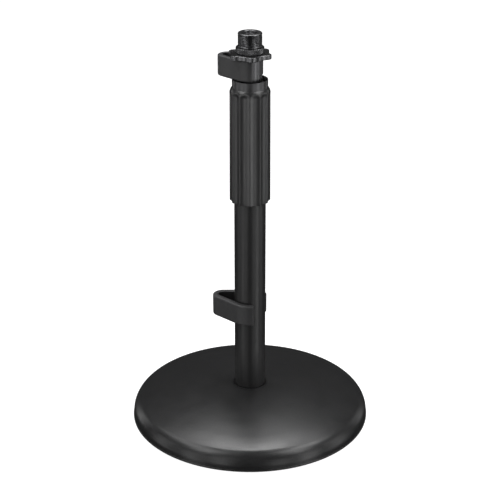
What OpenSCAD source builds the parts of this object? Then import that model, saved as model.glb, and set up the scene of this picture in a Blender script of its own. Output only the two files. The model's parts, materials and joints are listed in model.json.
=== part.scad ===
// Desktop microphone stand: a domed cast base, a two-stage telescoping tube with a twist clutch
// under a fluted grip, a jam nut, a thread adapter and two spring cable clips.
// Millimetres, +Z up, origin on the table under the centre of the tube.

/* [Base] */
// Diameter of the base over its bottom lip
base_d = 165.6; // [150:0.2:190]
// Height of the dome above the table, if it closed over the tube
dome_top_z = 24.2; // [22:0.1:27]
// Radius of the sphere that the dome is part of
dome_r = 296; // [220:1:340]
// Radius where the dome starts to bend down
dome_edge_x = 64; // [55:0.5:70]
// Radius where the rounded rim starts
rim_edge_x = 75.8; // [73:0.1:78]
// Thickness of the cast dome
dome_wall = 6.5; // [5:0.5:8]
// How far the rubber foot ring stands out below the casting
foot_drop = 0.6; // [0.6:0.1:2]

/* [Tubes] */
// Outer diameter of the fixed lower tube
outer_tube_d = 21.3; // [20:0.1:22]
// Outer diameter of the sliding mast
mast_d = 16; // [15.4:0.1:16.2]
// Wall thickness of both tubes
tube_wall = 1.2; // [1:0.1:1.3]
// Height of the upper end of the fixed tube
outer_tube_top_z = 212; // [205:1:216]
// Travel of the mast from fully down to fully up
mast_travel = 110; // [60:1:120]

/* [Clutch] */
// Height of the lower end of the fluted grip
grip_bottom_z = 161.7; // [150:0.1:165]
// Diameter of the grip at its upper end
grip_top_d = 26.7; // [25.6:0.1:27]
// Diameter of the grip at its lower end
grip_low_d = 27.3; // [26.4:0.1:28]
// Number of flutes around the grip
flute_count = 12; // [8:1:14]
// Depth of each flute
flute_depth = 0.6; // [0.3:0.05:0.8]
// Outer diameter of the clutch nut, seen as the collar above the grip
collar_d = 23.6; // [23:0.1:24]
// Height of the collar above the grip
collar_h = 5.25; // [3.5:0.05:6]

/* [Cable clips] */
// Height of the lower clip
lower_clip_h = 14.7; // [10:0.1:16]
// Height of the upper clip
upper_clip_h = 13.8; // [10:0.1:16]
// Height of the lower edge of the lower clip
lower_clip_z = 74.2; // [40:0.1:140]
// Wall thickness of the lower clip
lower_clip_wall = 3.8; // [3:0.1:4]
// Wall thickness of the upper clip
upper_clip_wall = 3.2; // [2.4:0.1:3.2]
// Direction in which the lower clip's loop points, from +X
lower_loop_angle = 159; // [90:1:180]
// Direction in which the upper clip's loop points, from +X
upper_loop_angle = 152; // [90:1:180]

/* [Thread end] */
// Major diameter of the outer microphone thread, 5/8 inch
thread_d = 15.875; // [15.8:0.005:15.9]
// Major diameter of the stud inside the adapter, 3/8 inch
stud_d = 9.525; // [9.5:0.005:9.55]
// Diameter of the knurled ring of the adapter
knurl_d = 18.6; // [17.6:0.1:20]
// Diameter of the jam nut over its lobes
jam_nut_d = 29.4; // [27:0.2:32]
// Number of lobes on the jam nut
lobe_count = 6; // [5:1:8]
// Thickness of the jam nut
jam_nut_h = 3; // [2.5:0.1:4]

/* [Hidden] */
$fn = 96;
eps = 0.5;              // how far a cutting tool runs past the face it opens
run_gap = 0.05;         // radial running clearance
loose_gap = 0.3;        // radial clearance where parts only have to pass each other

// Base
base_r = base_d / 2;
lip_h = 1.2;            // height of the bottom lip
side_r = base_r - 0.4;  // side wall above the lip
rim_in_r = side_r - 10.4;
dome_cz = dome_top_z - dome_r;
bend_r = 80;            // bend between the dome and the rounded rim
join = 0.002;           // how far each rounding stands out of the surfaces it blends
dome_tilt = asin(dome_edge_x / dome_r);
bend_x = (dome_r - bend_r + join) * sin(dome_tilt);
bend_z = dome_cz + (dome_r - bend_r + join) * cos(dome_tilt);
rim_tilt = asin((rim_edge_x - bend_x) / bend_r);
edge_r = (side_r - rim_edge_x) / (1 - sin(rim_tilt));
edge_x = bend_x + (bend_r - edge_r + join) * sin(rim_tilt);
edge_z = bend_z + (bend_r - edge_r + join) * cos(rim_tilt);
socket_floor_z = 20.5;  // floor of the recess that the lower tube stands in
socket_gap = 0.35;
boss_r = 19;
boss_z = 5;
bolt_pocket_r = 12;
bolt_seat_z = 13;
foot_in_r = 74;
foot_out_r = 79;
foot_groove = 1.4;

// Base bolt, M8 by 25
bolt_r = 4;
bolt_len = 25;
bolt_head_af = 13;
bolt_head_h = 5.3;
washer_h = 2;
washer_r = 11;
spring_washer_r = 6.4;
spring_washer_h = 2;
spring_washer_z = bolt_seat_z - washer_h - spring_washer_h;

// Tubes
outer_r = outer_tube_d / 2;
outer_in_r = outer_r - tube_wall;
mast_r = mast_d / 2;
mast_in_r = mast_r - tube_wall;
anchor_h = 18;
spigot_h = 16;          // clutch body's fit inside the lower tube
bush_h = 14;
ring_h = 1.5;
ring_groove = 0.6;
bush_z = outer_tube_top_z - spigot_h - mast_travel - ring_h - bush_h;
mast_bottom_z = bush_z - ring_h - 2.5;

// Clutch
body_thread_r = outer_r - run_gap;
body_top_z = outer_tube_top_z + 14;
bore_gap = 0.08;        // guide clearance of the mast in the clutch
cone_z = outer_tube_top_z + 6;
cone_low_r = mast_r + 0.7;
cone_top_r = mast_r + 2;
collet_finger_h = 16;
collet_ring_h = 2.5;    // height of the uncut ring above the collet's slots
collet_z = body_top_z - 6.5;
collet_top_z = collet_z + collet_finger_h + collet_ring_h;
thrust_h = 2;
lip_z = collet_top_z + thrust_h;
nut_lip_h = 2.5;
grip_top_z = lip_z + 0.3;
collar_top_z = grip_top_z + collar_h;
collar_r = collar_d / 2;
mouth_r = collar_r - 1.1;
ring_z = grip_bottom_z + 1;
glide_h = 3.2;
nut_bottom_z = ring_z + glide_h;
grip_edge = 0.4;        // bevel at the grip's lower edge
grip_shoulder_h = 3.6;
flute_end_drop = 7.1;   // from the grip's upper end to where the flutes' round ends start
ridge_half_w = 0.2;     // half the width of the ridge left between two flutes

// Cable clips: radius of the loop's outer end and distance of its centre from the tube's axis
lower_tip_r = 7.0;
lower_reach = 20.1;
upper_tip_r = 6.5;
upper_reach = 16.5;
lower_mouth = [-80, 36]; // angles at which the two arms end
upper_mouth = [-82, 38];
arc_steps = 16;

// Thread end
upper_clip_z = collar_top_z + 0.65;
mast_top_z = upper_clip_z + upper_clip_h;
jam_nut_z = mast_top_z;
jam_nut_angle = 37;     // direction of its first lobe
adapter_z = jam_nut_z + jam_nut_h;
knurl_h = 3.9;
thread_undercut_h = 0.6;
thread_h = 8;
thread_z = adapter_z + knurl_h + thread_undercut_h;
rim_chamfer = 0.8;
adapter_top_z = thread_z + thread_h + rim_chamfer;
thread_r = thread_d / 2;
stud_r = stud_d / 2;
stud_top_z = adapter_top_z - 2.5;
plug_len = 19;
pin_r = 1.5;
pin_z = mast_top_z - 10;

// Points on an arc about c, from angle a0 to angle a1; skip leaves out that many at each end
function arc(c, r, a0, a1, skip = 0) = [
    for (i = [skip : arc_steps - skip])
        let (a = a0 + (a1 - a0) * i / arc_steps)
        [c[0] + r * cos(a), c[1] + r * sin(a)]
];

// A point at distance r from the axis, in direction a
function polar(r, a) = [r * cos(a), r * sin(a)];

module ring(r_out, r_in, h) {
    difference() {
        cylinder(r = r_out, h = h);
        translate([0, 0, -eps]) cylinder(r = r_in, h = h + 2 * eps);
    }
}

// Tube about the Z axis between two heights
module tube(r_out, r_in, z0, z1) {
    translate([0, 0, z0]) ring(r_out, r_in, z1 - z0);
}

// Cast dome with its rounded rim, side wall and lip, before it is hollowed
module base_solid() {
    inner_r = dome_edge_x - 5;
    rotate_extrude()
    intersection() {
        translate([0, dome_cz]) circle(r = dome_r, $fn = 360);
        translate([0, foot_drop]) square([dome_edge_x, dome_top_z]);
    }
    rotate_extrude()
    intersection() {
        translate([bend_x, bend_z]) circle(r = bend_r, $fn = 360);
        translate([inner_r, foot_drop]) square([rim_edge_x - inner_r, dome_top_z]);
    }
    rotate_extrude()
    intersection() {
        translate([edge_x, edge_z]) circle(r = edge_r);
        translate([edge_x, foot_drop]) square([2 * edge_r, dome_top_z]);
    }
    tube(side_r, inner_r, foot_drop, edge_z);
    tube(base_r, inner_r, foot_drop, foot_drop + lip_h);
}

// Hollow under the dome, between the rim and the centre boss
module base_hollow() {
    difference() {
        intersection() {
            translate([0, dome_cz]) circle(r = dome_r - dome_wall, $fn = 360);
            translate([0, -eps]) square([rim_in_r, dome_top_z]);
        }
        translate([-eps, boss_z]) square([boss_r + eps, dome_top_z]);
    }
}

module base_casting() {
    color([0.13, 0.13, 0.14])
    difference() {
        base_solid();
        rotate_extrude() base_hollow();
        translate([0, 0, socket_floor_z]) cylinder(r = outer_r + socket_gap, h = dome_wall);
        translate([0, 0, bolt_seat_z - eps]) cylinder(r = bolt_r + loose_gap, h = dome_top_z - bolt_seat_z);
        cylinder(r = bolt_pocket_r, h = bolt_seat_z);
        tube(foot_out_r, foot_in_r, -eps, foot_drop + foot_groove);
    }
}

module foot_ring() {
    side_gap = 0.1;
    color([0.07, 0.07, 0.07])
    tube(foot_out_r - side_gap, foot_in_r + side_gap, 0, foot_drop + foot_groove);
}

module base_bolt() {
    color([0.62, 0.62, 0.64]) {
        translate([0, 0, spring_washer_z - bolt_head_h])
        cylinder(d = bolt_head_af / cos(30), h = bolt_head_h, $fn = 6);
        translate([0, 0, spring_washer_z - eps]) cylinder(r = bolt_r, h = bolt_len + eps);
    }
}

module spring_washer() {
    split = 1.2;
    color([0.55, 0.55, 0.57])
    translate([0, 0, spring_washer_z])
    difference() {
        ring(spring_washer_r, bolt_r + 0.1, spring_washer_h);
        rotate([25, 0, 0])
        translate([0, -split / 2, -2 * spring_washer_h])
        cube([2 * spring_washer_r, split, 5 * spring_washer_h]);
    }
}

module flat_washer() {
    color([0.66, 0.66, 0.68])
    tube(washer_r, bolt_r + 0.2, bolt_seat_z - washer_h, bolt_seat_z);
}

module tube_anchor_plug() {
    color([0.5, 0.5, 0.52])
    tube(outer_in_r, bolt_r + run_gap, socket_floor_z, socket_floor_z + anchor_h);
}

module outer_tube() {
    color([0.12, 0.12, 0.13])
    tube(outer_r, outer_in_r, socket_floor_z, outer_tube_top_z);
}

// C-shaped clip with a teardrop cable loop; mouth gives the angles of its two ends
module cable_clip(grip_r, wall, tip_r, reach, angle, mouth, h) {
    tangent = acos((grip_r + wall - tip_r) / reach);
    tip = polar(reach, angle);
    front = mouth[0] + 360;
    linear_extrude(height = h)
    polygon(concat(
        arc([0, 0], grip_r + wall, front, angle + tangent),
        arc(tip, tip_r, angle + tangent, angle - tangent),
        arc([0, 0], grip_r + wall, angle - tangent, mouth[1]),
        arc([0, 0], grip_r, mouth[1], angle - tangent),
        arc(tip, tip_r - wall, angle - tangent, angle + tangent),
        arc([0, 0], grip_r, angle + tangent, front)
    ));
}

module lower_cable_clip() {
    color([0.16, 0.16, 0.17])
    translate([0, 0, lower_clip_z])
    cable_clip(outer_r + 0.1, lower_clip_wall, lower_tip_r, lower_reach,
               lower_loop_angle, lower_mouth, lower_clip_h);
}

module upper_cable_clip() {
    color([0.2, 0.2, 0.21])
    translate([0, 0, upper_clip_z])
    cable_clip(mast_r + 0.1, upper_clip_wall, upper_tip_r, upper_reach,
               upper_loop_angle, upper_mouth, upper_clip_h);
}

// Spigot in the tube, outer thread for the nut, and the cone that closes the collet
module clutch_body() {
    color([0.75, 0.74, 0.7])
    rotate_extrude()
    polygon([
        [mast_r + bore_gap, outer_tube_top_z - spigot_h],
        [outer_in_r, outer_tube_top_z - spigot_h],
        [outer_in_r, outer_tube_top_z],
        [body_thread_r, outer_tube_top_z],
        [body_thread_r, body_top_z],
        [cone_top_r, body_top_z],
        [cone_low_r, cone_z],
        [mast_r + bore_gap, cone_z]
    ]);
}

// Radius of the clutch body's cone at height z
function cone_r(z) = cone_low_r + (cone_top_r - cone_low_r) * (z - cone_z) / (body_top_z - cone_z);

module collet() {
    slots = 6;
    slot_w = 1.2;
    collet_bore_r = mast_r + 0.03;
    color([0.88, 0.87, 0.82])
    difference() {
        rotate_extrude()
        polygon([
            [collet_bore_r, collet_z],
            [cone_r(collet_z) - run_gap, collet_z],
            [cone_top_r - run_gap, body_top_z],
            [cone_top_r - run_gap, collet_top_z],
            [collet_bore_r, collet_top_z]
        ]);
        for (i = [0 : slots - 1])
            rotate([0, 0, i * 360 / slots])
            translate([0, -slot_w / 2, collet_z - eps])
            cube([2 * mast_r, slot_w, collet_finger_h + eps]);
    }
}

module thrust_washer() {
    color([0.7, 0.7, 0.72])
    tube(cone_top_r, mast_r + loose_gap, collet_top_z, collet_top_z + thrust_h);
}

// Long sleeve nut: guide bore, thread, collet chamber, inner lip and the open collar
module clutch_nut() {
    skirt_in_r = outer_r + loose_gap;
    chamber_r = cone_top_r + loose_gap;
    thread_end_gap = 0.8; // how far the thread runs past the clutch body at each end
    rim_bevel = 0.3;
    mouth_flare = 0.5;    // half the difference between the mouth's radius at its top and at its foot
    color([0.22, 0.22, 0.23])
    rotate_extrude()
    polygon([
        [skirt_in_r, nut_bottom_z],
        [collar_r, nut_bottom_z],
        [collar_r, collar_top_z - rim_bevel],
        [collar_r - rim_bevel, collar_top_z],
        [mouth_r + mouth_flare, collar_top_z],
        [mouth_r - mouth_flare, lip_z + nut_lip_h],
        [mast_r + loose_gap, lip_z + nut_lip_h],
        [mast_r + loose_gap, lip_z],
        [chamber_r, lip_z],
        [chamber_r, body_top_z + thread_end_gap],
        [outer_r, body_top_z + thread_end_gap],
        [outer_r, outer_tube_top_z + thread_end_gap],
        [skirt_in_r, outer_tube_top_z]
    ]);
}

// Outline of the grip before the flutes are cut
module grip_outline() {
    top_r = grip_top_d / 2;
    low_r = grip_low_d / 2;
    polygon(concat(
        [
            [outer_r + loose_gap, grip_bottom_z],
            [low_r - grip_edge, grip_bottom_z],
            [low_r, grip_bottom_z + grip_edge]
        ],
        [
            for (i = [0 : 0.2 : 1])
                [
                    top_r - (top_r - collar_r) * i * i,
                    grip_top_z - grip_shoulder_h * (1 - i)
                ]
        ],
        [
            [collar_r, ring_z],
            [outer_r + loose_gap, ring_z]
        ]
    ));
}

// Cutter for one flute, with a round upper end, trimmed to the grip's skin
module flute_cutter(cut_x, cut_r, cut_h, half_w) {
    intersection() {
        translate([cut_x, 0, 0])
        rotate_extrude($fn = 360) {
            square([cut_r, cut_h]);
            translate([0, cut_h])
            intersection() {
                circle(r = cut_r, $fn = 360);
                square(cut_r);
            }
        }
        translate([collar_r, -half_w, 0]) cube([3, 2 * half_w, cut_h + cut_r]);
    }
}

module grip_sleeve() {
    mid_r = (grip_top_d + grip_low_d) / 4;
    half_w = mid_r * sin(180 / flute_count) - ridge_half_w;
    chord_x = sqrt(mid_r * mid_r - half_w * half_w);
    bottom_x = mid_r - flute_depth;
    // circle through the flute's two edges and its deepest point
    cut_x = (chord_x * chord_x + half_w * half_w - bottom_x * bottom_x) / (2 * (chord_x - bottom_x));
    cut_r = cut_x - bottom_x;
    cut_h = grip_top_z - flute_end_drop - grip_bottom_z + eps;
    half_taper = (grip_low_d - grip_top_d) / 4;
    color([0.2, 0.2, 0.21])
    difference() {
        rotate_extrude() grip_outline();
        for (i = [0 : flute_count - 1])
            rotate([0, 0, (i + 0.5) * 360 / flute_count])
            translate([half_taper, 0, grip_bottom_z - eps])
            rotate([0, -atan(2 * half_taper / cut_h), 0])
            flute_cutter(cut_x, cut_r, cut_h, half_w + ridge_half_w);
    }
}

module glide_ring() {
    color([0.12, 0.12, 0.12])
    tube(collar_r - run_gap, outer_r + 0.07, ring_z, nut_bottom_z);
}

module inner_tube() {
    color([0.3, 0.3, 0.31])
    difference() {
        tube(mast_r, mast_in_r, mast_bottom_z, mast_top_z);
        for (z = [bush_z - ring_h, bush_z + bush_h])
            tube(mast_r + 1, mast_r - ring_groove, z, z + ring_h);
        translate([-2 * mast_r, 0, pin_z]) rotate([0, 90, 0]) cylinder(r = pin_r, h = 4 * mast_r);
    }
}

module mast_glide_bushing() {
    color([0.9, 0.89, 0.85])
    tube(outer_in_r - run_gap, mast_r + run_gap, bush_z, bush_z + bush_h);
}

// Two open snap rings, one at each end of the bushing
module mast_retaining_rings() {
    color([0.5, 0.5, 0.52])
    for (z = [bush_z - ring_h, bush_z + bush_h])
        translate([0, 0, z])
        difference() {
            ring(outer_in_r - 0.45, mast_r - ring_groove, ring_h);
            translate([0, -1, -eps]) cube([2 * mast_r, 2, ring_h + 2 * eps]);
        }
}

module top_stud_plug() {
    color([0.6, 0.6, 0.62])
    difference() {
        union() {
            translate([0, 0, mast_top_z - plug_len]) cylinder(r = mast_in_r, h = plug_len);
            translate([0, 0, mast_top_z - eps]) cylinder(r = stud_r, h = stud_top_z - mast_top_z + eps);
        }
        translate([-2 * mast_r, 0, pin_z]) rotate([0, 90, 0]) cylinder(r = pin_r, h = 4 * mast_r);
    }
}

// Split roll pin across the mast and the plug
module stud_cross_pin() {
    pin_len = 2 * mast_r - 0.8;
    color([0.55, 0.55, 0.57])
    translate([-pin_len / 2, 0, pin_z])
    rotate([0, 90, 0])
    difference() {
        ring(pin_r, 0.8, pin_len);
        translate([0, -0.3, -eps]) cube([2 * pin_r, 0.6, pin_len + 2 * eps]);
    }
}

// Lobed nut: rounded lobes joined by shallow hollows that are tangent to them
module jam_nut() {
    lobe_r = 3.5;
    waist_r = jam_nut_d / 2 - 2.6;
    lobe_x = jam_nut_d / 2 - lobe_r;
    half = 180 / lobe_count;
    cx = lobe_x * cos(half);
    cy = lobe_x * sin(half);
    hollow_r = (pow(waist_r - cx, 2) + cy * cy - lobe_r * lobe_r) / (2 * (lobe_r - waist_r + cx));
    hollow_x = hollow_r + waist_r;
    // direction from a lobe's centre to the point where it meets its hollow
    meet = atan2(hollow_x * sin(half), hollow_x * cos(half) - lobe_x);
    color([0.25, 0.25, 0.26])
    translate([0, 0, jam_nut_z])
    difference() {
        linear_extrude(height = jam_nut_h)
        polygon([
            for (i = [0 : lobe_count - 1])
                let (
                    a = jam_nut_angle + 2 * half * i,
                    hollow = polar(hollow_x, a + half)
                )
                each concat(
                    arc(polar(lobe_x, a), lobe_r, a - meet, a + meet),
                    arc(hollow, hollow_r, a + meet + 180, a + 2 * half - meet + 180, 1)
                )
        ]);
        translate([0, 0, -eps]) cylinder(r = stud_r + run_gap, h = jam_nut_h + 2 * eps);
    }
}

// Knurled ring with the outer microphone thread above it, bored for the stud
module thread_adapter() {
    knurl_r = knurl_d / 2;
    bore_r = stud_r + run_gap;
    color([0.15, 0.15, 0.16])
    rotate_extrude()
    polygon([
        [bore_r, adapter_z],
        [knurl_r - 0.6, adapter_z],
        [knurl_r, adapter_z + 0.6],
        [knurl_r, adapter_z + knurl_h - 0.3],
        [knurl_r - 0.3, adapter_z + knurl_h],
        [thread_r - 0.6, adapter_z + knurl_h],
        [thread_r - 0.6, thread_z],
        [thread_r, thread_z],
        [thread_r, thread_z + thread_h],
        [thread_r - rim_chamfer, adapter_top_z],
        [bore_r + 0.5, adapter_top_z],
        [bore_r, adapter_top_z - 0.5]
    ]);
}

base_casting();
foot_ring();
base_bolt();
spring_washer();
flat_washer();
tube_anchor_plug();
outer_tube();
lower_cable_clip();
clutch_body();
collet();
thrust_washer();
clutch_nut();
grip_sleeve();
glide_ring();
inner_tube();
mast_glide_bushing();
mast_retaining_rings();
top_stud_plug();
stud_cross_pin();
upper_cable_clip();
jam_nut();
thread_adapter();
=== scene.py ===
"""Looks of the desktop microphone stand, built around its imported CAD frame.

Sizes are in millimetres until a mesh is made, and each piece takes its place from its CAD node.
"""
import json
import math

import bmesh
import bpy
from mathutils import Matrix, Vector

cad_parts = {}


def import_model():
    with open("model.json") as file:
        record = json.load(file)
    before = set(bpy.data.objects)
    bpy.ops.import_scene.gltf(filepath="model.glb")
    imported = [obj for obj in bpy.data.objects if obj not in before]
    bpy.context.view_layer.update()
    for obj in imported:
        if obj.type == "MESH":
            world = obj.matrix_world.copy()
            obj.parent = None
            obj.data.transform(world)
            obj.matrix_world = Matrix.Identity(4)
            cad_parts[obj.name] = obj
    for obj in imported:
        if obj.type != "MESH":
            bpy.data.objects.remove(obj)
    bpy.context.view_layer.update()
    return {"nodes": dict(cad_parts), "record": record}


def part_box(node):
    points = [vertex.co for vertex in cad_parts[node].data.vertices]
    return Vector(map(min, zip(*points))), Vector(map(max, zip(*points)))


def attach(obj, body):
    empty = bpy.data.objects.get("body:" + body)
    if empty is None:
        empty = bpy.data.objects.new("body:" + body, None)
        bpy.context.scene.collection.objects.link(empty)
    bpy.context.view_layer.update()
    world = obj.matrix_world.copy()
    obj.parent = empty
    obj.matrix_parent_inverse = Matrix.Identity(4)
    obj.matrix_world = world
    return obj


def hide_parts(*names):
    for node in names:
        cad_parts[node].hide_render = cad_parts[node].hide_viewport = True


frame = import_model()

MM = 0.001
SHARP_ANGLE = math.radians(38)
SUBPART_SLOT = {part["node"]: part["material_slot"] for part in frame["record"]["subparts"]}
NODE_BODY = {node: body for body, nodes in frame["record"]["behaviour"]["bodies"].items() for node in nodes}
INCH = 25.4
TUBE_WALL = 1.2                 # of the fixed tube and of the mast
STUD_R = 3 / 8 * INCH / 2
STUD_PITCH = INCH / 16
THREAD_R = 5 / 8 * INCH / 2
THREAD_PITCH = INCH / 27


# ---------------------------------------------------------------- frame and mesh helpers

def extent(node):
    """Outer radius, lowest and highest z of a CAD node that is round about the Z axis."""
    low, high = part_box(node)
    return high.x / MM, low.z / MM, high.z / MM


def turn(radius, angle, z):
    """The point at that radius and angle about the Z axis."""
    return (radius * math.cos(angle), radius * math.sin(angle), z)


def arc(cx, cy, radius, start, end, steps):
    """Points on an arc, with its angles in degrees."""
    angles = [math.radians(start + (end - start) * i / steps) for i in range(steps + 1)]
    return [(cx + radius * math.cos(a), cy + radius * math.sin(a)) for a in angles]


def soften(corners, steps=5):
    """A closed outline from (x, y, radius) corners: each gets a fillet with a short flat on both sides."""
    outline = []
    for i, (x, y, radius) in enumerate(corners):
        here = Vector((x, y))
        if not radius:
            outline.append(here)
            continue
        before = Vector(corners[i - 1][:2]) - here
        after = Vector(corners[(i + 1) % len(corners)][:2]) - here
        half = before.angle(after) / 2
        reach = min(radius / math.tan(half), 0.38 * before.length, 0.38 * after.length)
        before.normalize()
        after.normalize()
        radius = reach * math.tan(half)
        centre = here + (before + after).normalized() * (radius / math.sin(half))
        first = here + before * reach - centre
        swing = first.angle_signed(here + after * reach - centre)
        flat = 0.3 * reach
        outline.append(here + before * (reach + flat))
        for k in range(steps + 1):
            a = -swing * k / steps
            spoke = Vector((
                first.x * math.cos(a) - first.y * math.sin(a),
                first.x * math.sin(a) + first.y * math.cos(a),
            ))
            outline.append(centre + spoke)
        outline.append(here + after * (reach + flat))
    return [(p[0], p[1]) for p in outline]


def skin(name, rings, closed=False):
    """A mesh through rings of points in millimetres. A ring of one point is a pole."""
    points, starts = [], []
    for ring in rings:
        starts.append(len(points))
        points.extend(ring)
    steps = [(k, k + 1) for k in range(len(rings) - 1)]
    if closed:
        steps.append((len(rings) - 1, 0))
    faces = []
    for k, m in steps:
        a, b = starts[k], starts[m]
        count = max(len(rings[k]), len(rings[m]))
        for i in range(count):
            j = (i + 1) % count
            if len(rings[k]) == 1:
                faces.append((a, b + i, b + j))
            elif len(rings[m]) == 1:
                faces.append((a + i, b, a + j))
            else:
                faces.append((a + i, b + i, b + j, a + j))
    mesh = bpy.data.meshes.new(name)
    mesh.from_pydata([(x * MM, y * MM, z * MM) for x, y, z in points], [], faces)
    tidy = bmesh.new()
    tidy.from_mesh(mesh)
    bmesh.ops.recalc_face_normals(tidy, faces=tidy.faces)
    tidy.to_mesh(mesh)
    tidy.free()
    mesh.shade_smooth()
    mesh.set_sharp_from_angle(angle=SHARP_ANGLE)
    piece = bpy.data.objects.new(name, mesh)
    bpy.context.scene.collection.objects.link(piece)
    return piece


def ring(radius, z, count):
    """A ring about the Z axis; radius is a number, or a function of the angle."""
    angles = [math.tau * i / count for i in range(count)]
    if callable(radius):
        return [turn(radius(a), a, z) for a in angles]
    return [turn(radius, a, z) for a in angles]


def lathe(name, outline, count=128):
    """A closed outline of (radius, z) points turned about the Z axis."""
    return skin(name, [ring(r, z, count) for r, z in outline], closed=True)


DRILL_LENGTH = 40.0             # well past both sides of the mast


def pin_hole(piece):
    """Drills the roll pin's hole through a piece."""
    low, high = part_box("stud_cross_pin")
    cut_across(piece, (high.z - low.z) / 2 / MM, (high.z + low.z) / 2 / MM)


def cut_across(piece, radius, z):
    """Drills a hole along X through a piece, at height z."""
    cutter = bpy.data.meshes.new("drill")
    bit = bmesh.new()
    bmesh.ops.create_cone(bit, cap_ends=True, segments=40, depth=DRILL_LENGTH * MM,
                          radius1=radius * MM, radius2=radius * MM)
    bit.to_mesh(cutter)
    bit.free()
    drill = bpy.data.objects.new("drill", cutter)
    drill.location = (0, 0, z * MM)
    drill.rotation_euler = (0, math.pi / 2, 0)
    bpy.context.scene.collection.objects.link(drill)
    boolean = piece.modifiers.new("hole", "BOOLEAN")
    boolean.operation = "DIFFERENCE"
    boolean.solver = "EXACT"
    boolean.object = drill
    bpy.context.view_layer.update()
    drilled = bpy.data.meshes.new_from_object(piece.evaluated_get(bpy.context.evaluated_depsgraph_get()))
    piece.modifiers.clear()
    piece.data = drilled
    drilled.name = piece.name
    drilled.set_sharp_from_angle(angle=SHARP_ANGLE)
    bpy.data.objects.remove(drill)


def stand_for(piece, node):
    """The piece replaces that CAD node, rides on its body and takes its slot and material."""
    piece.data.materials.clear()
    piece.data.materials.append(MATERIALS[SUBPART_SLOT[node]])
    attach(piece, NODE_BODY[node])
    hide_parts(node)


# ---------------------------------------------------------------- materials

def shader(name, metallic, roughness_range, specular=0.5):
    """A material, its node tree, its shader and an object-space coordinate. Its roughness wanders."""
    material = bpy.data.materials.new(name)
    material.use_nodes = True
    tree = material.node_tree
    bsdf = tree.nodes["Principled BSDF"]
    bsdf.inputs["Metallic"].default_value = metallic
    bsdf.inputs["Specular IOR Level"].default_value = specular
    place = tree.nodes.new("ShaderNodeTexCoord").outputs["Object"]
    wander = noise(tree, place, size=9.0, detail=3)
    spread = tree.nodes.new("ShaderNodeMapRange")
    spread.inputs["From Min"].default_value = 0.3
    spread.inputs["From Max"].default_value = 0.7
    spread.inputs["To Min"].default_value = roughness_range[0]
    spread.inputs["To Max"].default_value = roughness_range[1]
    tree.links.new(wander, spread.inputs["Value"])
    tree.links.new(spread.outputs["Result"], bsdf.inputs["Roughness"])
    return material, tree, bsdf, place


def noise(tree, place, size, detail=2, stretch=(1, 1, 1)):
    """Noise with grains of about that size in millimetres, squeezed by the stretch along each axis."""
    mapping = tree.nodes.new("ShaderNodeMapping")
    mapping.inputs["Scale"].default_value = stretch
    texture = tree.nodes.new("ShaderNodeTexNoise")
    texture.inputs["Scale"].default_value = 1 / (size * MM)
    texture.inputs["Detail"].default_value = detail
    tree.links.new(place, mapping.inputs["Vector"])
    tree.links.new(mapping.outputs["Vector"], texture.inputs["Vector"])
    return texture.outputs["Fac"]


def colour_between(tree, bsdf, factor, dark, light, low=0.35, high=0.65):
    """The base colour goes from dark to light with the factor."""
    ramp = tree.nodes.new("ShaderNodeValToRGB")
    ramp.color_ramp.elements[0].position = low
    ramp.color_ramp.elements[0].color = (*dark, 1)
    ramp.color_ramp.elements[1].position = high
    ramp.color_ramp.elements[1].color = (*light, 1)
    tree.links.new(factor, ramp.inputs["Fac"])
    tree.links.new(ramp.outputs["Color"], bsdf.inputs["Base Color"])


def bump(tree, bsdf, height, distance, below=None):
    """Bump of that many millimetres at full strength; below is a coarser bump under it."""
    node = tree.nodes.new("ShaderNodeBump")
    node.inputs["Strength"].default_value = 1.0
    node.inputs["Distance"].default_value = distance * MM
    tree.links.new(height, node.inputs["Height"])
    if below:
        tree.links.new(below, node.inputs["Normal"])
    tree.links.new(node.outputs["Normal"], bsdf.inputs["Normal"])
    return node.outputs["Normal"]


def powder_coat(name, tint, roughness, grain, depth, fleck):
    """Baked powder coat: a fine pebbled skin with pale flecks and a slightly uneven sheen."""
    material, tree, bsdf, place = shader(name, 0.0, (roughness - 0.03, roughness + 0.03))
    pebbles = noise(tree, place, grain, detail=3)
    dark = [0.8 * c for c in tint]
    light = [fleck * c for c in tint]
    colour_between(tree, bsdf, pebbles, dark, light, 0.42, 0.74)
    waves = bump(tree, bsdf, noise(tree, place, 6 * grain), 0.4 * depth)
    bump(tree, bsdf, pebbles, depth, below=waves)
    return material


def moulded(name, tint, roughness, grain, depth, specular=0.5):
    """Moulded plastic or rubber with a fine spark-eroded texture and faint flow marks."""
    material, tree, bsdf, place = shader(name, 0.0, (roughness - 0.04, roughness + 0.04), specular)
    flow = noise(tree, place, 14.0, detail=4, stretch=(1, 1, 0.4))
    colour_between(tree, bsdf, flow, [0.88 * c for c in tint], [1.14 * c for c in tint])
    bump(tree, bsdf, noise(tree, place, grain, detail=2), depth)
    return material


def turned_metal(name, tint, metallic, roughness, depth):
    """Turned and plated metal: fine tool marks around the axis and small stains in the plating."""
    material, tree, bsdf, place = shader(name, metallic, (roughness - 0.05, roughness + 0.07))
    stains = noise(tree, place, 14.0, detail=3)
    colour_between(tree, bsdf, stains, [0.92 * c for c in tint], [1.08 * c for c in tint])
    marks = noise(tree, place, 2.0, detail=3, stretch=(0.25, 0.25, 12))
    bump(tree, bsdf, marks, depth)
    return material


def neutral(level):
    """A grey with a trace of blue."""
    return (level, level, 1.03 * level)


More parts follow.
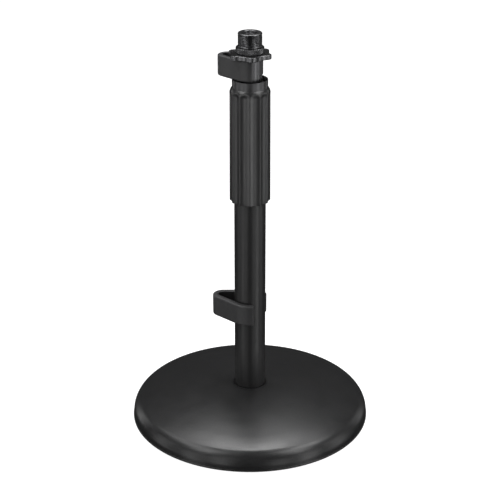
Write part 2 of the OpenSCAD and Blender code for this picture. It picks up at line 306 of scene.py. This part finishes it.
# powder coat: tint, roughness, grain, bump depth and brightness of the flecks
# moulded: tint, roughness, grain, bump depth and specular level
# turned metal: tint, metallic, roughness and bump depth
MATERIALS = {
    "base_coat": powder_coat("base_powder_coat", neutral(0.015), 0.31, 0.45, 0.016, 1.7),
    "tube_coat": powder_coat("tube_powder_coat", neutral(0.016), 0.36, 0.35, 0.006, 1.3),
    "mast_coat": turned_metal("mast_black_chrome", neutral(0.11), 0.9, 0.30, 0.001),
    "foot_rubber": moulded("foot_rubber", neutral(0.018), 0.65, 0.4, 0.02, 0.3),
    "black_plastic": moulded("clip_plastic", neutral(0.034), 0.44, 0.30, 0.008),
    "grip_rubber": moulded("grip_rubber", neutral(0.016), 0.33, 0.35, 0.006, 0.75),
    "nylon": moulded("natural_nylon", (0.78, 0.76, 0.70), 0.5, 0.6, 0.01),
    "collar_metal": turned_metal("collar_anodised", neutral(0.085), 0.7, 0.30, 0.002),
    "black_oxide": turned_metal("black_oxide", neutral(0.12), 0.9, 0.26, 0.003),
    "zinc_steel": turned_metal("zinc_steel", (0.62, 0.62, 0.63), 1.0, 0.32, 0.004),
}


# ---------------------------------------------------------------- base and foot

DOME_R = 296.0
DOME_EDGE_X = 64.0
DOME_WALL = 6.5
BEND_R = 80.0
RIM_EDGE_X = 75.8
LIP_STEP = 0.4
LIP_H = 1.2
SOCKET_R = 11.0                 # recess that the tube stands in
SOCKET_Z = 20.5
SOCKET_EDGE = 0.4
BOSS_R = 19.0
BOSS_Z = 5.0
POCKET_R = 12.0
BOLT_SEAT_Z = 13.0
BOLT_HOLE_R = 4.3
RIM_IN_R = 72.0
CAST_FILLET = 2.0               # inside corners of the casting
GROOVE = (74.0, 79.0, 2.0)      # inner radius, outer radius and depth of the foot ring's groove


def base_casting():
    """Cast dome with a rounded rim, a bottom lip, a hollow underside and a centre boss."""
    base_r, bottom, _ = extent("base_casting")
    side_r = base_r - LIP_STEP
    dome_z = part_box("base_casting")[1].z / MM - math.sqrt(DOME_R ** 2 - SOCKET_R ** 2)
    dome_tilt = math.asin(DOME_EDGE_X / DOME_R)
    bend_x = (DOME_R - BEND_R) * math.sin(dome_tilt)
    bend_z = dome_z + (DOME_R - BEND_R) * math.cos(dome_tilt)
    rim_tilt = math.asin((RIM_EDGE_X - bend_x) / BEND_R)
    edge_r = (side_r - RIM_EDGE_X) / (1 - math.sin(rim_tilt))
    edge_x = side_r - edge_r
    edge_z = bend_z + (BEND_R - edge_r) * math.cos(rim_tilt)
    dome_start = math.degrees(math.acos((SOCKET_R + SOCKET_EDGE) / DOME_R))
    dome_end = 90 - math.degrees(dome_tilt)
    bend_end = 90 - math.degrees(rim_tilt)
    inner_r = DOME_R - DOME_WALL
    inner_start = math.degrees(math.acos((RIM_IN_R - CAST_FILLET) / inner_r))
    inner_end = math.degrees(math.acos((BOSS_R + CAST_FILLET) / inner_r))

    def inner_z(r):
        return dome_z + math.sqrt(inner_r ** 2 - r ** 2)

    groove_in, groove_out, groove_z = GROOVE
    socket_wall = 3.2
    corners = [(BOLT_HOLE_R, SOCKET_Z, 0.3), (SOCKET_R, SOCKET_Z, 0.3), (SOCKET_R, SOCKET_Z + socket_wall, 0)]
    corners += [(r, z, 0) for r, z in arc(0, dome_z, DOME_R, dome_start, dome_end, 32)]
    corners += [(r, z, 0) for r, z in arc(bend_x, bend_z, BEND_R, dome_end, bend_end, 10)[1:]]
    corners += [(r, z, 0) for r, z in arc(edge_x, edge_z, edge_r, bend_end, 0, 20)[1:]]
    corners += [
        (side_r, bottom + LIP_H, 0.3),
        (base_r, bottom + LIP_H, 0.25),
        (base_r, bottom, 0.4),
        (groove_out, bottom, 0.25),
        (groove_out, groove_z, 0.25),
        (groove_in, groove_z, 0.25),
        (groove_in, bottom, 0.25),
        (RIM_IN_R, bottom, 0.9),
        (RIM_IN_R, inner_z(RIM_IN_R), CAST_FILLET),
    ]
    corners += [(r, z, 0) for r, z in arc(0, dome_z, inner_r, inner_start, inner_end, 16)]
    corners += [
        (BOSS_R, inner_z(BOSS_R), CAST_FILLET),
        (BOSS_R, BOSS_Z, 1.2),
        (POCKET_R, BOSS_Z, 0.6),
        (POCKET_R, BOLT_SEAT_Z, 0.6),
        (BOLT_HOLE_R, BOLT_SEAT_Z, 0.3),
    ]
    stand_for(lathe("cast_base", soften(corners), 288), "base_casting")


def foot_ring():
    """Rubber ring pressed in its groove, with a shallow channel between its two lands."""
    outer, bottom, top = extent("foot_ring")
    inner = GROOVE[0] + 0.1
    land, channel_edge, channel_z = 1.6, 1.9, bottom + 0.5
    corners = [
        (inner, top, 0.3), (outer, top, 0.3), (outer, bottom, 0.9),
        (outer - land, bottom, 0.2), (outer - channel_edge, channel_z, 0.2),
        (inner + channel_edge, channel_z, 0.2), (inner + land, bottom, 0.2), (inner, bottom, 0.9),
    ]
    stand_for(lathe("rubber_foot", soften(corners), 256), "foot_ring")


# ---------------------------------------------------------------- threads and base hardware

def thread_cut(angle, z, pitch, depth):
    """How deep a right-hand V thread is at that place, with a small flat on its crest."""
    phase = (z / pitch - angle / math.tau) % 1.0
    return depth * min(1.0, 1.15 * (1 - abs(2 * phase - 1)))


def threaded(radius, z0, z1, pitch, depth, count, rows_per_pitch=10, lead_in=0.8):
    """Rings of an outer thread from z0 to z1 that runs out at the bottom and is chamfered at the top."""
    rows = max(2, round((z1 - z0) / pitch * rows_per_pitch))
    rings = []
    for k in range(rows + 1):
        z = z0 + (z1 - z0) * k / rows
        fade = min(1.0, (z - z0) / pitch)
        crest = radius - max(0.0, lead_in - (z1 - z))
        rings.append(ring(
            lambda a, z=z, fade=fade, crest=crest: min(crest, radius - fade * thread_cut(a, z, pitch, depth)),
            z, count))
    return rings


def base_bolt():
    """Hexagon bolt with a chamfered head and a rolled M8 thread."""
    _, bottom, top = extent("base_bolt")
    head_top = extent("spring_washer")[1]
    flats, shank, pitch, thread_depth, count = 6.5, 4.0, 1.25, 0.65, 96
    face_r, dimple, collar_r, collar_h = 0.93 * flats, 0.3, 6.0, 0.3

    def head(z):
        cone = face_r + (z - bottom) / math.tan(math.radians(30))
        return lambda a: min(cone, flats / math.cos(a % (math.pi / 3) - math.pi / 6))

    rings = [[(0, 0, bottom + dimple)], ring(3.4, bottom + dimple, count), ring(3.8, bottom, count)]
    rings += [ring(face_r * 0.98, bottom, count)]
    rings += [ring(head(bottom + dz), bottom + dz, count) for dz in (0, 0.12, 0.25, 0.4, 0.6, 0.9, 1.3)]
    rings += [ring(head(head_top), z, count) for z in (head_top - 0.35, head_top - collar_h)]
    rings += [ring(collar_r, head_top - collar_h, count), ring(collar_r - 0.1, head_top, count)]
    rings += [ring(shank, head_top, count)]
    rings += threaded(shank, head_top + 0.2, top, pitch, thread_depth, count)
    rings += [[(0, 0, top)]]
    stand_for(skin("m8_bolt", rings), "base_bolt")


def washers():
    """Flat washer with a punched edge, and a split spring washer whose ends stand slightly apart."""
    outer, bottom, top = extent("flat_washer")
    hole = 4.2
    corners = [(hole, bottom, 0.15), (outer, bottom, 0.5), (outer, top, 0.2), (hole, top, 0.3)]
    stand_for(lathe("bolt_washer", soften(corners), 96), "flat_washer")

    outer, bottom, top = extent("spring_washer")
    gap, slant, steps = math.radians(7), math.radians(6), 90
    hole = 4.1
    section = [(hole, bottom, 0.25), (outer, bottom, 0.25), (outer, top, 0.25), (hole, top, 0.25)]
    section = soften(section, 3)
    rings = []
    for k in range(steps + 1):
        angle = gap + (math.tau - 2 * gap) * k / steps
        rings.append([turn(r, angle + slant * (z - bottom) / (top - bottom), z) for r, z in section])
    middle = [tuple(sum(c) / len(section) for c in zip(*rings[k])) for k in (0, -1)]
    stand_for(skin("split_washer", [[middle[0]], *rings, [middle[1]]]), "spring_washer")


# ---------------------------------------------------------------- tubes

def lower_tube():
    """Fixed tube, with its ends deburred."""
    outer, bottom, top = extent("outer_tube")
    bore = outer - TUBE_WALL
    corners = [(bore, bottom, 0.2), (outer, bottom, 0.3), (outer, top, 0.3), (bore, top, 0.2)]
    stand_for(lathe("lower_tube", soften(corners), 160), "outer_tube")


def mast():
    """Sliding tube with a groove for each snap ring and a hole for the roll pin."""
    outer, bottom, top = extent("inner_tube")
    bore = outer - TUBE_WALL
    groove_r, groove_h = outer - 0.6, 1.5
    _, bushing_bottom, bushing_top = extent("mast_glide_bushing")
    corners = [(bore, bottom, 0.2), (outer, bottom, 0.4)]
    for low_z in (bushing_bottom - groove_h, bushing_top):
        corners += [(outer, low_z, 0.1), (groove_r, low_z, 0.1)]
        corners += [(groove_r, low_z + groove_h, 0.1), (outer, low_z + groove_h, 0.1)]
    corners += [(outer, top, 0.3), (bore, top, 0.2)]
    tube = lathe("mast_tube", soften(corners, 3), 160)
    pin_hole(tube)
    stand_for(tube, "inner_tube")


# ---------------------------------------------------------------- clutch

NUT_BORE = 8.3                  # hole for the mast in the inner lip
NUT_LIP_H = 2.5
SKIRT_R = 10.95                 # bores of the skirt, the thread and the collet chamber
NUT_THREAD_R = 10.65
CHAMBER_R = 10.3
MOUTH = (11.2, 10.2)            # radius of the open mouth at its top and at its foot


def clutch_nut():
    """Long sleeve nut: guide skirt, thread, collet chamber, inner lip and the open collar."""
    outer, bottom, top = extent("clutch_nut")
    lip_z = extent("thrust_washer")[2]
    body_top = extent("clutch_body")[2]
    tube_top = extent("outer_tube")[2]
    step = 0.8
    corners = [
        (SKIRT_R, bottom, 0.3), (outer, bottom, 0.3), (outer, top, 0.3), (MOUTH[0], top, 0.15),
        (MOUTH[1], lip_z + NUT_LIP_H, 0.3), (NUT_BORE, lip_z + NUT_LIP_H, 0.3), (NUT_BORE, lip_z, 0.2),
        (CHAMBER_R, lip_z, 0.3), (CHAMBER_R, body_top + step, 0.1), (NUT_THREAD_R, body_top + step, 0.1),
        (NUT_THREAD_R, tube_top + step, 0.1), (SKIRT_R, tube_top, 0.1),
    ]
    stand_for(lathe("clutch_collar", soften(corners), 160), "clutch_nut")


FLUTES = 12
FLUTE_DEPTH = 0.98              # at the middle of a flute
GRIP_TAPER = 0.3                # how much thinner the grip is below its shoulder than at its lower end
GRIP_SHOULDER_H = 3.6
GRIP_EDGE = 0.4
GRIP_SWELL = 0.07               # gives back most of what the rounding takes off the ridges
FLUTE_TOP_DROP = 5.1            # from the grip's upper end to the centre of the flutes' round ends
RIDGE_ROUNDING = 0.13           # softens the edge between a flute and the skin


def grip_sleeve():
    """Rubber grip with twelve scalloped flutes that end in arches below its shoulder."""
    low_r, bottom, top = extent("grip_sleeve")
    _, ring_z, _ = extent("glide_ring")
    core = extent("clutch_nut")[0]
    tube_clear = extent("outer_tube")[0] + 0.3
    top_r = low_r - GRIP_TAPER
    shoulder_z = top - GRIP_SHOULDER_H
    arch_z = top - FLUTE_TOP_DROP
    sector = math.tau / FLUTES
    columns = FLUTES * 32

    def outline(z):
        side = low_r + (top_r - low_r) * (z - bottom) / (shoulder_z - bottom)
        bend = max(0.0, (z - shoulder_z) / GRIP_SHOULDER_H)
        rise = max(0.0, 1 - (z - bottom) / GRIP_EDGE)
        skirt = GRIP_EDGE * (1 - math.sqrt(1 - rise * rise))
        return side + GRIP_SWELL - (top_r - core) * bend * bend - skirt

    def radius(angle, z):
        skin_r = outline(z)
        across = ((angle % sector) - sector / 2) * skin_r
        half = sector / 2 * skin_r - 0.08
        up = max(0.0, z - arch_z)
        reach = math.hypot(across, up) / half
        cut = FLUTE_DEPTH * (1 - reach * reach)
        if cut > -3 * RIDGE_ROUNDING:
            skin_r -= RIDGE_ROUNDING * math.log1p(math.exp(cut / RIDGE_ROUNDING))
        return skin_r

    heights = [bottom + GRIP_EDGE * k / 5 for k in range(6)]
    heights += [bottom + GRIP_EDGE + (arch_z - 1.0 - bottom) * k / 24 for k in range(1, 25)]
    arch_start = arch_z - 0.6
    rows = round((top - arch_start) / 0.15)
    heights += [arch_start + (top - arch_start) * k / rows for k in range(1, rows + 1)]
    rings = [ring(tube_clear, ring_z, columns), ring(tube_clear, bottom, columns)]
    rings += [ring(lambda a: radius(a, bottom) - 0.15, bottom, columns)]
    rings += [ring(lambda a, z=z: radius(a, z), z, columns) for z in heights]
    rings += [ring(core + 0.12, top, columns), ring(core + 0.02, top - 0.3, columns)]
    rings += [ring(core, ring_z, columns)]
    stand_for(skin("fluted_grip", rings, closed=True), "grip_sleeve")


# ---------------------------------------------------------------- cable clips

CLIP_GAP = 0.1                  # between a clip and its tube

def cable_clip(name, node, grip_r, wall, tip_r, reach, angle, mouth):
    """Moulded spring clip: a strap with rounded edges swept round the tube and the cable loop."""
    low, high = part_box(node)
    middle, half_h, half_w = (low.z + high.z) / 2 / MM, (high.z - low.z) / 2 / MM, wall / 2
    edge_out, edge_in, end_r, end_steps = 1.0, 0.5, 0.6, 6
    mid_r = grip_r + half_w
    tangent = math.degrees(math.acos((grip_r + wall - tip_r) / reach))
    trim = math.degrees(1.2 * end_r / mid_r)
    tip = Vector((math.cos(math.radians(angle)), math.sin(math.radians(angle)))) * reach

    def spot(centre, radius, degrees):
        out = Vector((math.cos(math.radians(degrees)), math.sin(math.radians(degrees))))
        return centre + radius * out, out

    def cut(centre, radius, degrees, inset=0.0):
        """The strap's rounded section at that place, drawn in all round by the inset."""
        point, out = spot(centre, radius, degrees)
        w, h = half_w - inset, half_h - inset
        outer, inner = max(0.1, edge_out - inset), max(0.1, edge_in - inset)
        section = soften([(w, -h, outer), (w, h, outer), (-w, h, inner), (-w, -h, inner)])
        return [(*(point + out * across), middle + up) for across, up in section]

    axis = Vector((0, 0))
    front, back = mouth[0] + 360, mouth[1]
    arcs = [
        (axis, mid_r, front - trim, angle + tangent, 48),
        (tip, tip_r - half_w, angle + tangent, angle - tangent, 36),
        (axis, mid_r, angle - tangent, back + trim, 40),
    ]
    rings = []
    for centre, radius, start, end, steps in arcs:
        rings += [cut(centre, radius, start + (end - start) * k / steps) for k in range(steps + 1)]
    for end, sign in ((front, 1), (back, -1)):
        cap = []
        for k in range(end_steps + 1):
            a = math.pi / 2 * k / end_steps
            ahead = sign * math.degrees(end_r * (math.sin(a) - 1) / mid_r)
            cap.append(cut(axis, mid_r, end + ahead, end_r * (1 - math.cos(a))))
        rings = cap[::-1] + rings if sign > 0 else rings + cap
    tips = [tuple(sum(c) / len(rings[k]) for c in zip(*rings[k])) for k in (0, -1)]
    stand_for(skin(name, [[tips[0]], *rings, [tips[1]]]), node)


def cable_clips():
    """Both clips: name, node, tube, wall, radius, reach and angle of the loop's tip, and the mouth's ends."""
    for name, node, tube, wall, tip_r, reach, angle, mouth in (
        ("clip_on_tube", "lower_cable_clip", "outer_tube", 3.8, 7.0, 20.1, 159, (-80, 36)),
        ("clip_on_mast", "upper_cable_clip", "inner_tube", 3.2, 6.5, 16.5, 152, (-82, 38)),
    ):
        cable_clip(name, node, extent(tube)[0] + CLIP_GAP, wall, tip_r, reach, angle, mouth)


# ---------------------------------------------------------------- thread end

LOBES = 6
LOBE_R = 3.5
LOBE_TIP_R = 14.7
HOLLOW_DEPTH = 2.6
FIRST_LOBE = 37                 # degrees
STUD_FIT = 0.05                 # radial gap between the stud and what is screwed on it
BORE_CHAMFER = 0.3


def lobed_outline(tip_r, waist_r):
    """Points and outward directions round the jam nut: lobes joined by hollows that are tangent to them."""
    half = math.pi / LOBES
    lobe_x = tip_r - LOBE_R
    cx, cy = lobe_x * math.cos(half), lobe_x * math.sin(half)
    hollow_r = ((waist_r - cx) ** 2 + cy * cy - LOBE_R ** 2) / (2 * (LOBE_R - waist_r + cx))
    hollow_x = hollow_r + waist_r
    meet = math.atan2(hollow_x * math.sin(half), hollow_x * math.cos(half) - lobe_x)
    steps = 20
    outline = []
    for i in range(LOBES):
        a = math.radians(FIRST_LOBE) + 2 * half * i
        centre = Vector((math.cos(a), math.sin(a))) * lobe_x
        for k in range(steps + 1):
            b = a - meet + 2 * meet * k / steps
            out = Vector((math.cos(b), math.sin(b)))
            outline.append((centre + out * LOBE_R, out))
        centre = Vector((math.cos(a + half), math.sin(a + half))) * hollow_x
        for k in range(1, steps):
            b = a + meet + math.pi + (2 * half - 2 * meet) * k / steps
            out = Vector((-math.cos(b), -math.sin(b)))
            outline.append((centre - out * hollow_r, out))
    return outline


def jam_nut():
    """Lobed steel nut with rounded edges and a chamfered hole."""
    _, bottom, top = extent("jam_nut")
    bore, edge, flat = STUD_R + STUD_FIT, 0.5, 0.15
    mouth = bore + BORE_CHAMFER
    outline = lobed_outline(LOBE_TIP_R, LOBE_TIP_R - HOLLOW_DEPTH)
    quarter = [math.pi / 2 * k / 6 for k in range(7)]
    round_edge = [(edge * (1 - math.cos(a)), edge * (1 - math.sin(a))) for a in quarter]

    def level(inset, z):
        return [(*(point - out * inset), z) for point, out in outline]

    def hole(radius, z):
        return [(*(point.normalized() * radius), z) for point, _ in outline]

    rings = [hole(bore, bottom + BORE_CHAMFER), hole(mouth, bottom), level(edge + flat, bottom)]
    rings += [level(inset, bottom + rise) for inset, rise in reversed(round_edge)]
    rings += [level(0, bottom + edge + flat), level(0, top - edge - flat)]
    rings += [level(inset, top - drop) for inset, drop in round_edge]
    rings += [level(edge + flat, top), hole(mouth, top), hole(bore, top - BORE_CHAMFER)]
    stand_for(skin("lobed_jam_nut", rings, closed=True), "jam_nut")


KNURL_TEETH = 40
KNURL_DEPTH = 0.28
KNURL_H = 3.9
UNDERCUT_H = 0.6
RIM_R = 0.8                     # rounding of the adapter's upper end
BORE_ROUND = 0.6


def thread_adapter():
    """Diamond-knurled ring with the 5/8 inch thread above it and a plain bore for the stud."""
    knurl_r, bottom, top = extent("thread_adapter")
    count = KNURL_TEETH * 12
    bore = STUD_R + STUD_FIT
    knurl_top = bottom + KNURL_H
    thread_bottom = knurl_top + UNDERCUT_H
    thread_top = top - RIM_R

    def ridge(phase):
        return 1 - abs(2 * (phase % 1.0) - 1)

    def knurled(crest, z):
        tooth_h = math.tau * knurl_r / KNURL_TEETH

        def radius(a):
            along, up = a * KNURL_TEETH / math.tau, z / tooth_h
            diamond = min(ridge(along + up), ridge(along - up))
            return min(crest, knurl_r - KNURL_DEPTH * (1 - min(1.0, 1.6 * diamond)))
        return radius

    rings = [ring(bore, bottom + BORE_CHAMFER, count), ring(bore + BORE_CHAMFER, bottom, count)]
    rings += [ring(knurl_r - 0.9, bottom, count)]
    rows, low_chamfer, top_chamfer = 40, 0.6, 0.3
    for k in range(rows + 1):
        z = bottom + KNURL_H * k / rows
        crest = knurl_r - max(0.0, low_chamfer - (z - bottom), top_chamfer - (knurl_top - z))
        rings.append(ring(knurled(crest, z), z, count))
    neck = THREAD_R - 0.62
    rings += [ring(knurl_r - 0.7, knurl_top, count), ring(neck + 0.15, knurl_top, count)]
    rings += [ring(neck, z, count) for z in (knurl_top + 0.15, thread_bottom - 0.1)]
    rings += threaded(THREAD_R, thread_bottom, thread_top, THREAD_PITCH, 0.55, count, 9, 0.0)
    rings += [ring(THREAD_R, thread_top + 0.02, count), ring(THREAD_R - 0.05, thread_top + 0.12, count)]
    rings += [ring(r, z, count) for r, z in arc(THREAD_R - RIM_R, thread_top, RIM_R, 20, 90, 8)]
    rings += [ring(bore + BORE_ROUND + 0.15, top, count)]
    rings += [ring(r, z, count) for r, z in arc(bore + BORE_ROUND, top - BORE_ROUND, BORE_ROUND, 90, 180, 6)]
    rings += [ring(bore, z, count) for z in (top - 1.2, (top + bottom) / 2, bottom + 1)]
    stand_for(skin("thread_adapter_5_8", rings, closed=True), "thread_adapter")


def top_stud():
    """Plug in the mast with the 3/8 inch stud and the centre hole in its end."""
    mast_bore, bottom, top = extent("top_stud_plug")
    shoulder = extent("inner_tube")[2]
    count = 120
    rings = [[(0, 0, bottom)], ring(mast_bore - 0.6, bottom, count), ring(mast_bore, bottom + 0.6, count)]
    rings += [ring(mast_bore, z, count) for z in (bottom + 0.8, shoulder - 0.3)]
    rings += [ring(mast_bore - 0.3, shoulder, count), ring(STUD_R - 0.1, shoulder, count)]
    rings += threaded(STUD_R, shoulder + 0.2, top, STUD_PITCH, 0.85, count, 12, 0.7)
    rings += [ring(r, z, count) for r, z in ((3.9, top), (1.35, top), (1.15, top - 0.2), (1.1, top - 1.2))]
    rings += [[(0, 0, top - 1.9)]]
    stud = skin("top_stud", rings)
    pin_hole(stud)
    stand_for(stud, "top_stud_plug")


# ---------------------------------------------------------------- stage, light and camera

LIGHT_DISTANCE = 1.3
LIGHT_TARGET = Vector((0, 0, 0.13))


def soft_box(name, azimuth, elevation, width, height, power):
    """An area light that looks at the stand. Azimuth 0 is the camera's side, and positive is its right."""
    a, e = math.radians(azimuth), math.radians(elevation)
    back = Vector((math.sin(a) * math.cos(e), -math.cos(a) * math.cos(e), math.sin(e)))
    light = bpy.data.lights.new(name, "AREA")
    light.shape = "RECTANGLE"
    light.size = width
    light.size_y = height
    light.energy = power
    lamp = bpy.data.objects.new(name, light)
    lamp.location = LIGHT_TARGET + back * LIGHT_DISTANCE
    lamp.rotation_mode = "QUATERNION"
    lamp.rotation_quaternion = (-back).to_track_quat("-Z", "Y")
    bpy.context.scene.collection.objects.link(lamp)


def pale_surface(name, glow, albedo):
    """A pale diffuse surface that also glows a little, so that shadows on it stay faint."""
    material = bpy.data.materials.new(name)
    material.use_nodes = True
    bsdf = material.node_tree.nodes["Principled BSDF"]
    bsdf.inputs["Base Color"].default_value = (albedo, albedo, albedo, 1)
    bsdf.inputs["Roughness"].default_value = 1.0
    bsdf.inputs["Specular IOR Level"].default_value = 0.0
    bsdf.inputs["Emission Color"].default_value = (1, 1, 1, 1)
    bsdf.inputs["Emission Strength"].default_value = glow
    return material


def stage():
    """Pale floor and a pale backdrop that only the camera sees."""
    size = 40.0
    floor_mesh = bpy.data.meshes.new("floor")
    corners = [(-size, -size, 0), (size, -size, 0), (size, size, 0), (-size, size, 0)]
    floor_mesh.from_pydata(corners, [], [(0, 1, 2, 3)])
    floor = bpy.data.objects.new("floor", floor_mesh)
    floor_mesh.materials.append(pale_surface("pale_floor", 0.88, 0.4))
    sky_mesh = bpy.data.meshes.new("backdrop")
    dome = bmesh.new()
    bmesh.ops.create_uvsphere(dome, u_segments=48, v_segments=24, radius=size)
    dome.to_mesh(sky_mesh)
    dome.free()
    sky = bpy.data.objects.new("backdrop", sky_mesh)
    sky_mesh.materials.append(pale_surface("pale_backdrop", 1.0, 0.0))
    for piece in (floor, sky):
        bpy.context.scene.collection.objects.link(piece)
        piece.visible_glossy = False
        piece.visible_diffuse = False
        piece.visible_shadow = False


def lights():
    """Soft boxes of a small studio: name, azimuth, elevation, width, height and watts.

    The base's crest mirrors the overhead boxes, and the tube and the grip mirror the strips.
    """
    for name, azimuth, elevation, width, height, power in (
        ("overhead_low", 180, 56, 0.6, 0.3, 1.4),
        ("overhead", 180, 75, 0.6, 0.26, 8.0),
        ("back_left", -150, 60, 0.4, 0.4, 1.4),
        ("back_right", 150, 60, 0.4, 0.4, 1.2),
        ("rear_left", -118, 54, 0.4, 0.6, 1.8),
        ("rear_right", 118, 60, 0.4, 0.4, 1.5),
        ("high_left", -86, 55, 0.4, 0.45, 2.2),
        ("high_right", 86, 55, 0.4, 0.45, 4.0),
        ("side_left", -86, 0, 0.4, 1.2, 1.8),
        ("side_right", 86, 0, 0.4, 1.2, 2.2),
        ("front_high_left", -54, 50, 0.35, 0.8, 3.6),
        ("front_high_right", 54, 46, 0.35, 0.8, 4.2),
        ("strip_left", -54, -7, 0.35, 1.3, 2.4),
        ("strip_right", 54, -7, 0.35, 1.3, 3.5),
        ("front_left", -27, 2, 0.35, 1.4, 2.6),
        ("rim_left", -125, 4, 0.35, 0.8, 1.1),
        ("rim_right", 125, 4, 0.35, 0.8, 0.7),
        ("front_right", 27, -10, 0.35, 1.0, 1.4),
    ):
        soft_box(name, azimuth, elevation, width, height, power)


CAMERA_PLACE = (0, -0.8781, 0.50727)
CAMERA_TILT = 23.53             # degrees below level


def camera():
    """The view of the photograph: from the front, looking a little down."""
    data = bpy.data.cameras.new("camera")
    data.lens = 101.42
    data.sensor_width = 36.0
    eye = bpy.data.objects.new("camera", data)
    eye.location = CAMERA_PLACE
    eye.rotation_euler = (math.radians(90 - CAMERA_TILT), 0, 0)
    bpy.context.scene.collection.objects.link(eye)
    bpy.context.scene.camera = eye


def world():
    """A faint even light from all round, and plain colours."""
    surroundings = bpy.data.worlds.new("studio")
    surroundings.use_nodes = True
    background = surroundings.node_tree.nodes["Background"]
    background.inputs["Color"].default_value = (1, 1, 1, 1)
    background.inputs["Strength"].default_value = 0.02
    bpy.context.scene.world = surroundings
    bpy.context.scene.view_settings.view_transform = "Standard"


base_casting()
foot_ring()
base_bolt()
washers()
lower_tube()
mast()
clutch_nut()
grip_sleeve()
cable_clips()
jam_nut()
thread_adapter()
top_stud()
for node, solid in frame["nodes"].items():
    if not solid.hide_render:
        solid.data.materials.clear()
        solid.data.materials.append(MATERIALS[SUBPART_SLOT[node]])
stage()
lights()
camera()
world()
